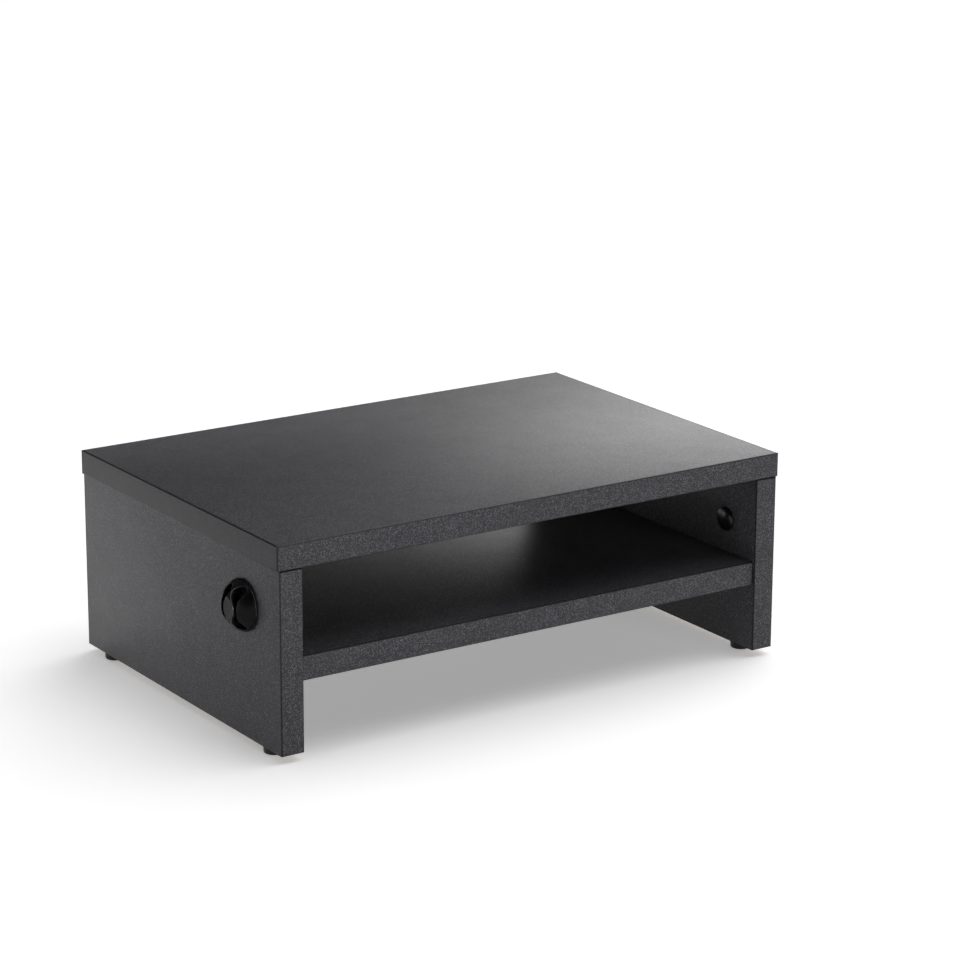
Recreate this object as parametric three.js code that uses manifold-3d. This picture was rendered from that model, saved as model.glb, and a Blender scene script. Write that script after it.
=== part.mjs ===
// A two-tier desk stand for a screen: two side panels carry a top board, with an open shelf between them.
// The boards are melamine-faced chipboard with glued edge bands, joined by cam locks and wooden dowels.
// Millimetres, +Z up, front towards -Y. The origin is under the middle of the whole stand, on the desk.
import * as THREE from 'three';
import { mergeVertices } from 'three/addons/utils/BufferGeometryUtils.js';
import Module from 'manifold-3d';

const wasm = await Module();
wasm.setup();

// Boards
const stand_width = 380;
const stand_depth = 254;
const board_thickness = 16;
const panel_height = 117.8;
const top_overhang = 1.3;
const upper_bay_height = 56.4;
const shelf_setback = 2;

// Edge bands
const band_thickness = 1;
const band_round = 0.4;
const glue_line = 0.1;

// Gaps: faces that rest on each other, and round pieces in their bores
const seat_gap = 0.1;
const fit_gap = 0.3;

// Cam lock
const cam_diameter = 14.4;
const cam_drop = 34;
const cam_inset = 32;
const cam_floor = 0.6;
const cam_lip_thin = 0.9;
const cam_lip_thick = 1.9;
const cam_chamfer = 0.5;
const cam_bay_start = THREE.MathUtils.degToRad(-150);
const recess_depth = 2.8;
const recess_span = 9;
const recess_slot = 1.6;
const arrow_length = 2.2;
const arrow_width = 2.4;
const arrow_depth = 0.5;

// Connecting bolt, with its head inside the cam lock
const bolt_head_diameter = 6.6;
const bolt_head_length = 4.4;
const bolt_neck_diameter = 4;
const bolt_neck_length = 6.5;
const bolt_sleeve_diameter = 6.4;
const bolt_collar_diameter = 7.4;
const bolt_collar_height = 1.4;
const bolt_thread_diameter = 6;
const bolt_thread_length = 11;
const bolt_tip_taper = 2;

// Domed cap over a cam lock
const cap_diameter = 16.4;
const cap_height = 3.4;
const cap_rim = 0.5;
const cap_stem_diameter = 3.6;

// Dowel
const dowel_diameter = 8;
const dowel_length = 29;
const dowel_in_face = 10;
const dowel_pitch = 32;
const dowel_chamfer = 1;
const dowel_flute_depth = 0.35;
const dowel_flutes = 8;

// Glide foot and its nail
const foot_height = 5;
const foot_top_diameter = 14;
const foot_sole_diameter = 13.4;
const foot_sole_round = 1.1;
const foot_inset = 23;
const foot_pocket_depth = 1.6;
const nail_shank_diameter = 1.8;
const nail_head_diameter = 4.6;
const nail_head_thickness = 0.7;
const nail_drive = 12;
const nail_point = 2;
const nail_head_room = 0.6;

// Cable clip on the left panel: a round dome with two open channels and a leaf that reaches over both
const clip_diameter = 33.6;
const clip_height = 13;
const clip_rim = 1.2;
const clip_from_front = 42.7;
const clip_below_top = 31.7;
const clip_bore_diameter = 8.2;
const clip_bore_spacing = 10.4;
const clip_bore_floor = 3.9;
const leaf_half_width = 7;
const leaf_half_length = 13.2;
const leaf_thickness = 3.2;
const pad_diameter = 29;
const pad_thickness = 1.5;

// Modelling values
const overrun = 1;
const weld_distance = 0.0001;
const bore_sides = 16;
const pin_bore_sides = 12;
const cam_sides = 20;
const bolt_sides = 12;
const cap_sides = 22;
const foot_sides = 20;
const nail_sides = 8;
const clip_sides = 56;
const clip_bore_sides = 24;
const pad_sides = 32;
const clip_dome_steps = 8;
const cap_dome_steps = 5;
const bay_steps = 10;
const round_steps = 3;
const lens_steps = 8;

// Places worked out from the sizes above
const panel_foot = foot_height + seat_gap;
const panel_head = panel_foot + panel_height;
const top_underside = panel_head + seat_gap;
const panel_outer = stand_width / 2 - top_overhang;
const panel_inner = panel_outer - board_thickness;
const panel_middle = (panel_outer + panel_inner) / 2;
const shelf_length = 2 * (panel_inner - seat_gap);
const shelf_depth = stand_depth - 2 * shelf_setback;
const shelf_underside = panel_head - upper_bay_height - board_thickness;
const shelf_middle = shelf_underside + board_thickness / 2;
const band_build = band_thickness + glue_line;
const bolt_depth = board_thickness / 2;
const cam_radius = cam_diameter / 2;
const cam_height = bolt_depth + bolt_head_diameter / 2 + fit_gap + cam_floor;
const cam_bore_depth = cam_height + fit_gap;
const cam_bore_radius = cam_radius + fit_gap;
const bolt_head_place = cam_radius - cam_lip_thin - bolt_head_diameter / 2;
const bolt_bore_diameter = Math.max(bolt_head_diameter, bolt_collar_diameter) + 2 * fit_gap;
const cap_stem_length = recess_depth + seat_gap - fit_gap;
const foot_pocket_diameter = nail_head_diameter + 2 * nail_head_room;
const clip_reach = seat_gap + pad_thickness + glue_line + clip_height;

const sides = [
  { name: 'left', sign: -1 },
  { name: 'right', sign: 1 },
];
const ends = [
  { name: 'front', sign: -1 },
  { name: 'back', sign: 1 },
];

const charcoal_board = new THREE.MeshStandardMaterial({ color: 0x343436, roughness: 0.5, metalness: 0 });
const charcoal_band = new THREE.MeshStandardMaterial({ color: 0x3a3a3d, roughness: 0.45, metalness: 0 });
const black_plastic = new THREE.MeshStandardMaterial({ color: 0x151516, roughness: 0.4, metalness: 0 });
const soft_plastic = new THREE.MeshStandardMaterial({ color: 0x18181a, roughness: 0.6, metalness: 0 });
const zinc = new THREE.MeshStandardMaterial({ color: 0xa4a6a8, roughness: 0.4, metalness: 1 });
const steel = new THREE.MeshStandardMaterial({ color: 0xb9babc, roughness: 0.3, metalness: 1 });
const beech = new THREE.MeshStandardMaterial({ color: 0xc9a06c, roughness: 0.7, metalness: 0 });
const foam = new THREE.MeshStandardMaterial({ color: 0x8d8d8d, roughness: 0.9, metalness: 0 });

const axis_x = new THREE.Vector3(1, 0, 0);
const axis_y = new THREE.Vector3(0, 1, 0);
const axis_z = new THREE.Vector3(0, 0, 1);

// A closed geometry as a solid that can be cut and joined.
function solidOf(geometry) {
  const bare = geometry.clone();
  bare.deleteAttribute('normal');
  bare.deleteAttribute('uv');
  const merged = mergeVertices(bare, weld_distance);
  const corners = merged.index.array;
  const faces = [];
  for (let i = 0; i < corners.length; i += 3) {
    const [a, b, c] = corners.slice(i, i + 3);
    if (a !== b && b !== c && c !== a) {
      faces.push(a, b, c);
    }
  }
  return new wasm.Manifold(new wasm.Mesh({
    numProp: 3,
    vertProperties: merged.attributes.position.array,
    triVerts: new Uint32Array(faces),
  }));
}

// A cut or joined solid as a geometry with flat faces.
function geometryOf(solid) {
  const { vertProperties, triVerts } = solid.getMesh();
  const geometry = new THREE.BufferGeometry();
  geometry.setAttribute('position', new THREE.BufferAttribute(new Float32Array(vertProperties), 3));
  geometry.setIndex(new THREE.BufferAttribute(new Uint32Array(triVerts), 1));
  const flat = geometry.toNonIndexed();
  flat.computeVertexNormals();
  return flat;
}

// Adds one named piece. Its frame has +Z along facing and +Y along upward.
function addPiece(parent, name, geometry, material, place, facing = axis_z, upward = axis_y) {
  const mesh = new THREE.Mesh(geometry, material.clone());
  mesh.name = name;
  const sideways = new THREE.Vector3().crossVectors(upward, facing);
  mesh.quaternion.setFromRotationMatrix(new THREE.Matrix4().makeBasis(sideways, upward, facing));
  mesh.position.copy(place);
  parent.add(mesh);
  return mesh;
}

function block(width, depth, height, centre) {
  return new THREE.BoxGeometry(width, depth, height).translate(centre.x, centre.y, centre.z);
}

// A profile of [radius, height] points, from the bottom up, turned round the Z axis.
function turned(profile, steps) {
  const points = profile.map(([radius, height]) => new THREE.Vector2(radius, height));
  return new THREE.LatheGeometry(points, steps).rotateX(Math.PI / 2);
}

// A drill that enters the face at mouth and goes depth into it along inward.
function drill(diameter, mouth, inward, depth, steps = pin_bore_sides) {
  const tool = new THREE.CylinderGeometry(diameter / 2, diameter / 2, depth + overrun, steps);
  tool.translate(0, (depth - overrun) / 2, 0);
  tool.applyQuaternion(new THREE.Quaternion().setFromUnitVectors(axis_y, inward));
  return solidOf(tool.translate(mouth.x, mouth.y, mouth.z));
}

function cutAll(solid, tools) {
  return tools.reduce((left, tool) => left.subtract(tool), solid);
}

// How far in from the middle plane the row of locks and the row of dowels stand.
const lock_row = (depth) => depth / 2 - cam_inset;
const dowel_row = (depth) => depth / 2 - cam_inset - dowel_pitch;

function topBoard() {
  const middle = new THREE.Vector3(0, 0, top_underside + board_thickness / 2);
  const core = block(stand_width - 2 * band_build, stand_depth - 2 * band_build, board_thickness, middle);
  const tools = [];
  for (const side of sides) {
    for (const end of ends) {
      const lock = new THREE.Vector3(side.sign * panel_middle, end.sign * lock_row(stand_depth), top_underside);
      const dowel = new THREE.Vector3(side.sign * panel_middle, end.sign * dowel_row(stand_depth), top_underside);
      tools.push(drill(bolt_thread_diameter + 2 * fit_gap, lock, axis_z, bolt_thread_length + fit_gap));
      tools.push(drill(dowel_diameter + 2 * fit_gap, dowel, axis_z, dowel_in_face + fit_gap));
    }
  }
  return geometryOf(cutAll(solidOf(core), tools));
}

function sidePanel(side) {
  const middle = new THREE.Vector3(side.sign * panel_middle, 0, panel_foot + panel_height / 2);
  const core = block(board_thickness, stand_depth - 2 * band_build, panel_height, middle);
  const inner = side.sign * panel_inner;
  const outward = axis_x.clone().multiplyScalar(side.sign);
  const down = axis_z.clone().negate();
  const tools = [];
  for (const end of ends) {
    const lock = end.sign * lock_row(stand_depth);
    const dowel = end.sign * dowel_row(stand_depth);
    const shelf_lock = end.sign * lock_row(shelf_depth);
    const shelf_dowel = end.sign * dowel_row(shelf_depth);
    const foot = end.sign * (stand_depth / 2 - foot_inset);
    const lock_height = panel_head - cam_drop;
    const across = side.sign * panel_middle;
    const cam_mouth = new THREE.Vector3(inner, lock, lock_height);
    tools.push(drill(2 * cam_bore_radius, cam_mouth, outward, cam_bore_depth, bore_sides));
    tools.push(drill(bolt_bore_diameter, new THREE.Vector3(across, lock, panel_head), down, cam_drop));
    tools.push(drill(
      dowel_diameter + 2 * fit_gap,
      new THREE.Vector3(across, dowel, panel_head),
      down,
      dowel_length - dowel_in_face + fit_gap,
    ));
    tools.push(drill(
      bolt_thread_diameter + 2 * fit_gap,
      new THREE.Vector3(inner, shelf_lock, shelf_middle),
      outward,
      bolt_thread_length + fit_gap,
    ));
    tools.push(drill(
      dowel_diameter + 2 * fit_gap,
      new THREE.Vector3(inner, shelf_dowel, shelf_middle),
      outward,
      dowel_in_face + fit_gap,
    ));
    tools.push(drill(
      nail_shank_diameter + 2 * fit_gap,
      new THREE.Vector3(across, foot, panel_foot),
      axis_z,
      nail_drive + fit_gap,
    ));
  }
  return geometryOf(cutAll(solidOf(core), tools));
}

function shelfBoard() {
  const middle = new THREE.Vector3(0, 0, shelf_middle);
  const core = block(shelf_length, shelf_depth - 2 * band_build, board_thickness, middle);
  const tools = [];
  for (const side of sides) {
    const inward = axis_x.clone().multiplyScalar(-side.sign);
    const end_face = side.sign * shelf_length / 2;
    const lock_across = end_face - side.sign * (cam_drop - seat_gap);
    for (const end of ends) {
      const lock = end.sign * lock_row(shelf_depth);
      const dowel = end.sign * dowel_row(shelf_depth);
      const mouth = new THREE.Vector3(lock_across, lock, shelf_underside);
      tools.push(drill(2 * cam_bore_radius, mouth, axis_z, cam_bore_depth, bore_sides));
      tools.push(drill(bolt_bore_diameter, new THREE.Vector3(end_face, lock, shelf_middle), inward, cam_drop));
      tools.push(drill(
        dowel_diameter + 2 * fit_gap,
        new THREE.Vector3(end_face, dowel, shelf_middle),
        inward,
        dowel_length - dowel_in_face + fit_gap,
      ));
    }
  }
  return geometryOf(cutAll(solidOf(core), tools));
}

// A strip of edge band: +X is outwards, +Y across the board's thickness and Z along the edge.
function edgeBand(length) {
  const half = board_thickness / 2;
  const section = new THREE.Shape();
  section.moveTo(glue_line, -half);
  section.lineTo(band_build - band_round, -half);
  section.absarc(band_build - band_round, band_round - half, band_round, -Math.PI / 2, 0);
  section.lineTo(band_build, half - band_round);
  section.absarc(band_build - band_round, half - band_round, band_round, 0, Math.PI / 2);
  section.lineTo(glue_line, half);
  section.closePath();
  const strip = new THREE.ExtrudeGeometry(section, { depth: length, bevelEnabled: false, curveSegments: round_steps });
  return strip.translate(0, 0, -length / 2);
}

// A band glued to the edge face at place, facing outward, with the board's thickness along across.
function addBand(parent, name, length, place, outward, across) {
  const along = new THREE.Vector3().crossVectors(outward, across);
  addPiece(parent, name, edgeBand(length), charcoal_band, place, along, across);
}

function addTopBands(parent) {
  const level = top_underside + board_thickness / 2;
  for (const end of ends) {
    const place = new THREE.Vector3(0, end.sign * (stand_depth / 2 - band_build), level);
    addBand(parent, `top_band_${end.name}`, stand_width, place, axis_y.clone().multiplyScalar(end.sign), axis_z);
  }
  for (const side of sides) {
    const place = new THREE.Vector3(side.sign * (stand_width / 2 - band_build), 0, level);
    const outward = axis_x.clone().multiplyScalar(side.sign);
    addBand(parent, `top_band_${side.name}`, stand_depth - 2 * band_build, place, outward, axis_z);
  }
}

function addPanelBands(parent, side) {
  for (const end of ends) {
    const place = new THREE.Vector3(
      side.sign * panel_middle,
      end.sign * (stand_depth / 2 - band_build),
      panel_foot + panel_height / 2,
    );
    const outward = axis_y.clone().multiplyScalar(end.sign);
    addBand(parent, `panel_band_${end.name}_${side.name}`, panel_height, place, outward, axis_x);
  }
}

function addShelfBands(parent) {
  for (const end of ends) {
    const place = new THREE.Vector3(0, end.sign * (shelf_depth / 2 - band_build), shelf_middle);
    addBand(parent, `shelf_band_${end.name}`, shelf_length, place, axis_y.clone().multiplyScalar(end.sign), axis_z);
  }
}

// A wedge from the Z axis out to a radius that runs from the first to the second value, between two angles.
// Angles are measured from +Y, the side on which the bolt comes in.
function wedge(from_angle, to_angle, from_radius, to_radius, height, middle) {
  const outline = [new THREE.Vector2(0, 0)];
  for (let i = 0; i <= bay_steps; i += 1) {
    const angle = THREE.MathUtils.lerp(from_angle, to_angle, i / bay_steps);
    const radius = THREE.MathUtils.lerp(from_radius, to_radius, i / bay_steps);
    outline.push(new THREE.Vector2(-radius * Math.sin(angle), radius * Math.cos(angle)));
  }
  const slab = new THREE.ExtrudeGeometry(new THREE.Shape(outline), { depth: height, bevelEnabled: false });
  return solidOf(slab.translate(0, 0, middle - height / 2));
}

// The cam lock: a drum with its slotted face at z = 0, whose spiral bay holds the head of the bolt.
function camLock() {
  const drum = solidOf(turned([
    [0, -cam_height],
    [cam_radius - cam_chamfer, -cam_height],
    [cam_radius, cam_chamfer - cam_height],
    [cam_radius, 0],
    [0, 0],
  ], cam_sides));
  const head_room = bolt_head_diameter / 2 + fit_gap;
  const bay_roof = -bolt_depth + head_room;
  const bay_height = cam_height + bay_roof + overrun;
  const bay_middle = bay_roof - bay_height / 2;
  const wide = cam_radius - cam_lip_thin;
  const narrow = cam_radius - cam_lip_thick;
  const outside = cam_radius + overrun;
  const neck_slot = bolt_neck_diameter + 2 * fit_gap;
  const bay_end = Math.asin(neck_slot / 2 / (bolt_head_place + bolt_head_length / 2));
  const bay = wedge(cam_bay_start, bay_end, wide, narrow, bay_height, bay_middle);
  const neck_way = wedge(cam_bay_start, bay_end, outside, outside, neck_slot, -bolt_depth);
  const tools = [bay, neck_way];
  for (const angle of [cam_bay_start, bay_end]) {
    const pass = new THREE.CylinderGeometry(head_room, head_room, bay_height, pin_bore_sides).rotateX(Math.PI / 2);
    pass.translate(-bolt_head_place * Math.sin(angle), bolt_head_place * Math.cos(angle), bay_middle);
    tools.push(solidOf(pass));
  }
  const entry = new THREE.Vector3(-outside * Math.sin(cam_bay_start), outside * Math.cos(cam_bay_start), -bolt_depth);
  const inward = new THREE.Vector3(-entry.x, -entry.y, 0).normalize();
  tools.push(drill(2 * head_room, entry, inward, outside - bolt_head_place));
  for (const [width, depth] of [[recess_span, recess_slot], [recess_slot, recess_span]]) {
    tools.push(solidOf(block(width, depth, 2 * recess_depth, new THREE.Vector3(0, 0, 0))));
  }
  const stem_room = cap_stem_diameter + 2 * fit_gap;
  tools.push(drill(stem_room, new THREE.Vector3(0, 0, 0), axis_z.clone().negate(), recess_depth));
  const arrow = new THREE.Shape([
    new THREE.Vector2(0, cam_radius - cam_chamfer),
    new THREE.Vector2(-arrow_width / 2, cam_radius - cam_chamfer - arrow_length),
    new THREE.Vector2(arrow_width / 2, cam_radius - cam_chamfer - arrow_length),
  ]);
  const mark = new THREE.ExtrudeGeometry(arrow, { depth: arrow_depth + overrun, bevelEnabled: false });
  tools.push(solidOf(mark.translate(0, 0, -arrow_depth).rotateZ(cam_bay_start)));
  return geometryOf(cutAll(drum, tools));
}

// The connecting bolt: z = 0 is the face it is screwed into, the thread is below and the head above.
function camBolt() {
  const head_middle = cam_drop - bolt_head_place;
  const head_end = head_middle + bolt_head_length / 2;
  const head_start = head_middle - bolt_head_length / 2;
  const neck_start = head_start - bolt_neck_length;
  return turned([
    [0, -bolt_thread_length],
    [bolt_thread_diameter / 4, -bolt_thread_length],
    [bolt_thread_diameter / 2, bolt_tip_taper - bolt_thread_length],
    [bolt_thread_diameter / 2, seat_gap],
    [bolt_collar_diameter / 2, seat_gap],
    [bolt_collar_diameter / 2, bolt_collar_height],
    [bolt_sleeve_diameter / 2, bolt_collar_height],
    [bolt_sleeve_diameter / 2, neck_start],
    [bolt_neck_diameter / 2, neck_start],
    [bolt_neck_diameter / 2, head_start],
    [bolt_head_diameter / 2, head_middle],
    [bolt_head_diameter / 2, head_middle + bolt_head_length / 4],
    [bolt_head_diameter / 4, head_end],
    [0, head_end],
  ], bolt_sides);
}

// The cap: z = 0 is the face it covers, with a low dome above and a stem into the cam lock's recess below.
function camCap() {
  const radius = cap_diameter / 2;
  const stem = cap_stem_diameter / 2;
  const profile = [[0, -cap_stem_length], [stem, -cap_stem_length], [stem, 0], [radius, 0], [radius, cap_rim]];
  for (let i = 1; i <= cap_dome_steps; i += 1) {
    const angle = (i / cap_dome_steps) * Math.PI / 2;
    profile.push([radius * Math.cos(angle), cap_rim + (cap_height - cap_rim) * Math.sin(angle)]);
  }
  profile[profile.length - 1][0] = 0;
  return turned(profile, cap_sides);
}

// The dowel: a fluted beech pin with chamfered ends, centred on its frame.
function dowelPin() {
  const radius = dowel_diameter / 2;
  const outline = [];
  for (let i = 0; i < 2 * dowel_flutes; i += 1) {
    const reach = i % 2 ? radius - dowel_flute_depth : radius;
    const angle = (i / dowel_flutes) * Math.PI;
    outline.push(new THREE.Vector2(reach * Math.cos(angle), reach * Math.sin(angle)));
  }
  const fluted = new THREE.ExtrudeGeometry(new THREE.Shape(outline), { depth: dowel_length, bevelEnabled: false });
  fluted.translate(0, 0, -dowel_length / 2);
  const half = dowel_length / 2;
  const blank = turned([
    [0, -half],
    [radius - dowel_chamfer, -half],
    [radius + fit_gap, dowel_chamfer - half],
    [radius + fit_gap, half - dowel_chamfer],
    [radius - dowel_chamfer, half],
    [0, half],
  ], 2 * dowel_flutes);
  return geometryOf(solidOf(fluted).intersect(solidOf(blank)));
}

// The glide: its sole is at z = 0, and the nail's head sits in a pocket in the sole.
function glideFoot() {
  const sole = foot_sole_diameter / 2;
  const pocket = foot_pocket_diameter / 2;
  const hole = nail_shank_diameter / 2 + fit_gap;
  const profile = [[pocket, 0], [sole - foot_sole_round, 0]];
  for (let i = 1; i <= round_steps; i += 1) {
    const angle = (i / round_steps) * Math.PI / 2;
    const out = foot_sole_round * Math.sin(angle);
    const up = foot_sole_round * (1 - Math.cos(angle));
    profile.push([sole - foot_sole_round + out, up]);
  }
  profile.push(
    [foot_top_diameter / 2, foot_height],
    [hole, foot_height],
    [hole, foot_pocket_depth],
    [pocket, foot_pocket_depth],
    [pocket, 0],
  );
  return turned(profile, foot_sides);
}

// The nail: z = 0 is the underside of its head, against the pocket's roof, and the point is up.
function glideNail() {
  const shank = nail_shank_diameter / 2;
  const point = foot_height - foot_pocket_depth + nail_drive;
  return turned([
    [0, -nail_head_thickness - seat_gap],
    [nail_head_diameter / 2, -nail_head_thickness - seat_gap],
    [nail_head_diameter / 2, -seat_gap],
    [shank, -seat_gap],
    [shank, point - nail_point],
    [0, point],
  ], nail_sides);
}

// The flat shape between two arcs that meet on the Y axis, as seen on the clip's face.
function lens(half_width, half_length) {
  const radius = (half_width ** 2 + half_length ** 2) / (2 * half_width);
  const spread = Math.asin(half_length / radius);
  const shape = new THREE.Shape();
  shape.absarc(half_width - radius, 0, radius, -spread, spread);
  shape.absarc(radius - half_width, 0, radius, Math.PI - spread, Math.PI + spread);
  return shape;
}

// The clip: its base is at z = 0 and the cords run along Y. Each channel is a bore, open upward
// between straight walls, and the leaf covers the inner part of it, so only a slit lets a cord in.
function cableClip() {
  const radius = clip_diameter / 2;
  const crown = clip_height - clip_rim;
  const dome_radius = (radius ** 2 + crown ** 2) / (2 * crown);
  const rise = Math.asin(radius / dome_radius);
  const profile = [[0, 0], [radius, 0]];
  for (let i = 0; i < clip_dome_steps; i += 1) {
    const angle = rise * (1 - i / clip_dome_steps);
    profile.push([dome_radius * Math.sin(angle), clip_height - dome_radius * (1 - Math.cos(angle))]);
  }
  profile.push([0, clip_height]);
  const dome = solidOf(turned(profile, clip_sides));
  const bore_radius = clip_bore_diameter / 2;
  const bore_level = clip_bore_floor + bore_radius;
  const length = clip_diameter + 2 * overrun;
  const channels = [];
  for (const side of sides) {
    const place = side.sign * clip_bore_spacing / 2;
    const bore = new THREE.CylinderGeometry(bore_radius, bore_radius, length, clip_bore_sides);
    const opening = new THREE.BoxGeometry(clip_bore_diameter, length, clip_height);
    channels.push(solidOf(bore.translate(place, 0, bore_level)));
    channels.push(solidOf(opening.translate(place, 0, bore_level + clip_height / 2)));
  }
  const cut = { depth: clip_height, bevelEnabled: false, curveSegments: lens_steps };
  const leaf = new THREE.ExtrudeGeometry(lens(leaf_half_width, leaf_half_length), cut);
  leaf.translate(0, 0, clip_height - leaf_thickness);
  return geometryOf(dome.subtract(wasm.Manifold.union(channels).subtract(solidOf(leaf))));
}

function padDisc() {
  const radius = pad_diameter / 2;
  return turned([[0, 0], [radius, 0], [radius, pad_thickness], [0, pad_thickness]], pad_sides);
}

const cam_lock = camLock();
const cam_bolt = camBolt();
const cam_cap = camCap();
const dowel_pin = dowelPin();
const glide_foot = glideFoot();
const glide_nail = glideNail();

// The fasteners between a side panel and the top board, at one end of the panel.
function addTopJoint(parent, side, end) {
  const tag = `${end.name}_${side.name}`;
  const inward = axis_x.clone().multiplyScalar(-side.sign);
  const along = end.sign * lock_row(stand_depth);
  const across = side.sign * panel_middle;
  const down = axis_z.clone().negate();
  const face = side.sign * panel_inner;
  const level = panel_head - cam_drop;
  const lock = new THREE.Vector3(face, along, level);
  const bolt = new THREE.Vector3(across, along, top_underside);
  const cap = new THREE.Vector3(face - side.sign * seat_gap, along, level);
  addPiece(parent, `cam_lock_panel_${tag}`, cam_lock, zinc, lock, inward, axis_z);
  addPiece(parent, `cam_bolt_top_${tag}`, cam_bolt, steel, bolt, down, axis_x);
  addPiece(parent, `cam_cap_${tag}`, cam_cap, black_plastic, cap, inward, axis_z);
  const dowel_level = top_underside + dowel_in_face - dowel_length / 2;
  const dowel = new THREE.Vector3(across, end.sign * dowel_row(stand_depth), dowel_level);
  addPiece(parent, `dowel_top_${tag}`, dowel_pin, beech, dowel);
}

// The fasteners between the shelf and a side panel, at one end of the panel.
function addShelfJoint(parent, side, end) {
  const tag = `${end.name}_${side.name}`;
  const outward = axis_x.clone().multiplyScalar(side.sign);
  const inward = outward.clone().negate();
  const along = end.sign * lock_row(shelf_depth);
  const down = axis_z.clone().negate();
  const face = side.sign * panel_inner;
  const lock = new THREE.Vector3(face - side.sign * cam_drop, along, shelf_underside);
  const bolt = new THREE.Vector3(face, along, shelf_middle);
  addPiece(parent, `cam_lock_shelf_${tag}`, cam_lock, zinc, lock, down, outward);
  addPiece(parent, `cam_bolt_shelf_${tag}`, cam_bolt, steel, bolt, inward, axis_y);
  const dowel_across = face + side.sign * (dowel_in_face - dowel_length / 2);
  const dowel = new THREE.Vector3(dowel_across, end.sign * dowel_row(shelf_depth), shelf_middle);
  addPiece(parent, `dowel_shelf_${tag}`, dowel_pin, beech, dowel, outward, axis_y);
}

function addFoot(parent, side, end) {
  const tag = `${end.name}_${side.name}`;
  const along = end.sign * (stand_depth / 2 - foot_inset);
  const place = new THREE.Vector3(side.sign * panel_middle, along, 0);
  addPiece(parent, `glide_foot_${tag}`, glide_foot, black_plastic, place);
  addPiece(parent, `glide_nail_${tag}`, glide_nail, steel, place.clone().setZ(foot_pocket_depth));
}

function addClip(parent) {
  const outward = axis_x.clone().negate();
  const face = -panel_outer;
  const along = clip_from_front - stand_depth / 2;
  const level = panel_head - clip_below_top;
  const pad = new THREE.Vector3(face - seat_gap, along, level);
  const body = new THREE.Vector3(pad.x - pad_thickness - glue_line, along, level);
  addPiece(parent, 'cable_clip_pad', padDisc(), foam, pad, outward, axis_z);
  addPiece(parent, 'cable_clip', cableClip(), soft_plastic, body, outward, axis_z);
}

const stand = new THREE.Group();
addPiece(stand, 'top_board', topBoard(), charcoal_board, new THREE.Vector3());
addTopBands(stand);
addPiece(stand, 'shelf_board', shelfBoard(), charcoal_board, new THREE.Vector3());
addShelfBands(stand);
for (const side of sides) {
  const frame = new THREE.Group();
  addPiece(frame, `side_panel_${side.name}`, sidePanel(side), charcoal_board, new THREE.Vector3());
  addPanelBands(frame, side);
  for (const end of ends) {
    addTopJoint(frame, side, end);
    addShelfJoint(frame, side, end);
    addFoot(frame, side, end);
  }
  stand.add(frame);
}
addClip(stand);

// The clip stands proud of the left side only, so the stand moves right by half of what shows past the top board.
stand.position.x = Math.max(clip_reach - top_overhang, 0) / 2;

const part = new THREE.Group();
part.add(stand);

export default part;
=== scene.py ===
# %% [markdown]
# # A two-tier desk stand
# The stand is two side panels, a top board and an open shelf, all of 16 mm chipboard with a charcoal
# melamine face. Its edges carry glued bands, cam locks and dowels hold it together, and it rests on
# four nailed glides. A soft cable clip sits on the left panel.
# The frame holds every piece at its real size. This lesson gives each one its finish, and rebuilds
# those whose edges, threads or curves need more than the frame's flat facets.

# %% Load the frame
import math

import bmesh
import bpy
from mathutils import Matrix, Vector


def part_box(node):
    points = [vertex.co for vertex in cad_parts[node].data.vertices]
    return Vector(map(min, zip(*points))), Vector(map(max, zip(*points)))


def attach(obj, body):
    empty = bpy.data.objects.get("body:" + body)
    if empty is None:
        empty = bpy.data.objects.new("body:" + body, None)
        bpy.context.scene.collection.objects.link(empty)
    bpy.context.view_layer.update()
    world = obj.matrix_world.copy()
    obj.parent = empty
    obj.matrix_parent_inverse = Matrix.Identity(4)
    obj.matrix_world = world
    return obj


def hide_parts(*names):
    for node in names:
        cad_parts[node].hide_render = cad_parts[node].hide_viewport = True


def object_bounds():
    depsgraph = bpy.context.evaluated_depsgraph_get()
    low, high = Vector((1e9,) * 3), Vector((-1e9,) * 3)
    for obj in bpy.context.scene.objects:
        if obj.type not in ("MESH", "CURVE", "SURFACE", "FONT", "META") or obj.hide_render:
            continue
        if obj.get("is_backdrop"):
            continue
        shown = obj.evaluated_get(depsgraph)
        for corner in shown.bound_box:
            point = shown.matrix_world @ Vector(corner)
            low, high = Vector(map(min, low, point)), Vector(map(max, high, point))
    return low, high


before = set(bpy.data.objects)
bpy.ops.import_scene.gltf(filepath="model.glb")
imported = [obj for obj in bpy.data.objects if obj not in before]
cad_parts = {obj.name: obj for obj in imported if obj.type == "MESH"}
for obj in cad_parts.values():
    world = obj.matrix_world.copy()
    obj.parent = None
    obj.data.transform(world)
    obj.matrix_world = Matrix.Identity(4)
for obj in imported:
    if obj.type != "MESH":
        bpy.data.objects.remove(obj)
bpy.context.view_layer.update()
MM = 0.001

# %% [markdown]
# ## The camera
# The camera stands in front of the stand's left corner and a little above it. Its place comes from a
# fit to the stand's own corners, given as the point that it looks at, two angles, a distance and a
# small roll. Building its matrix from those keeps the numbers easy to read and to change.

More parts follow.
